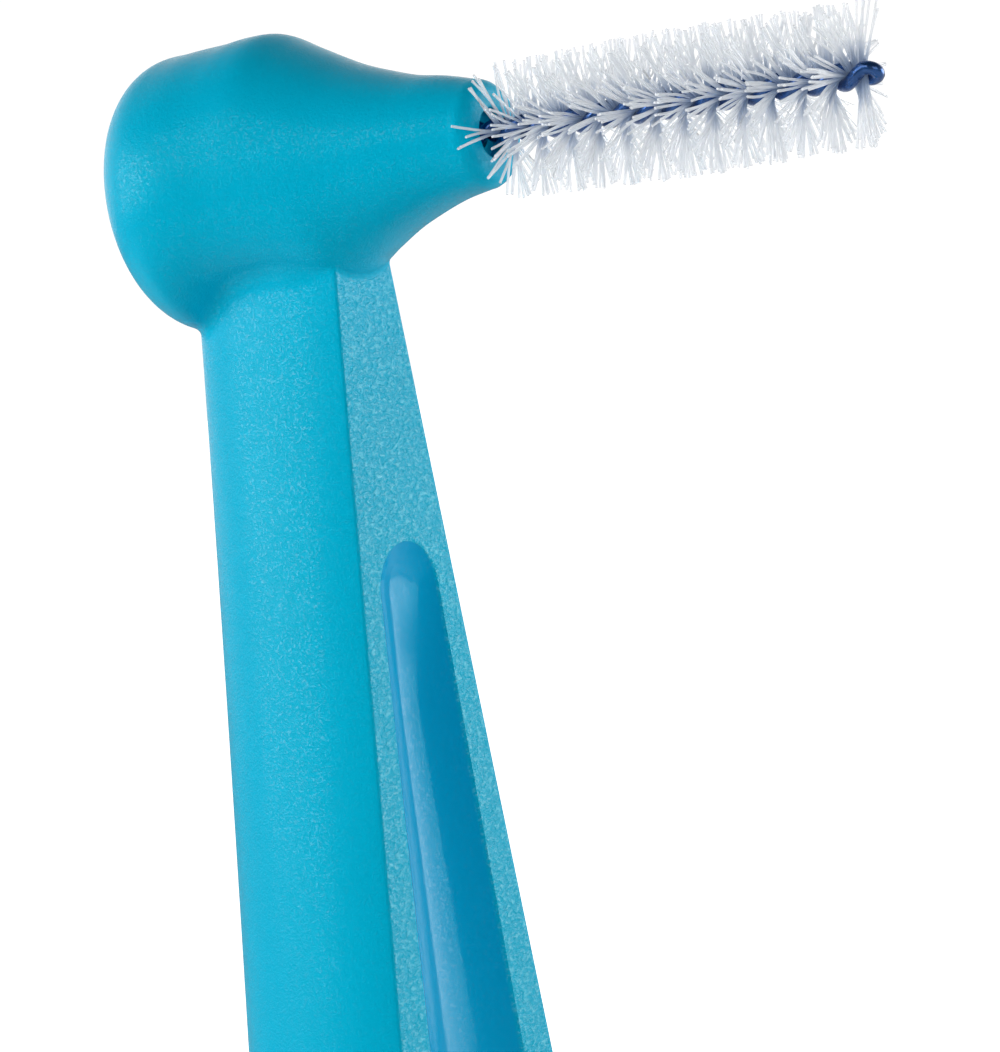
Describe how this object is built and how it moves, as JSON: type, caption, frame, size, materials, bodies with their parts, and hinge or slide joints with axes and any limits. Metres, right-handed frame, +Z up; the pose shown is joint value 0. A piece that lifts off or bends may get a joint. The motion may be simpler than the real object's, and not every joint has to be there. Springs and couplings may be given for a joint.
{
  "type": "interdental brush",
  "caption": "Long-handled interdental brush: slim grooved handle with a round head that carries a twisted coated wire with short bristles at a right angle.",
  "frame": {"origin": "centre of the small flat end of the handle", "axes": "+Z up along the handle to the head, +X the way the brush points, which is also the outward normal of the handle's flat face"},
  "size_m": [0.0244, 0.011, 0.1497],
  "materials": {
    "body": "fine-grained satin, polished in the groove",
    "steel": "drawn stainless wire",
    "coating": "glossy",
    "nylon": "clear to white filament"
  },
  "bodies": {
    "root": {"handle": "body", "wire_core": "steel", "wire_coating": "coating", "filaments": "nylon"}
  },
  "joints": []
}
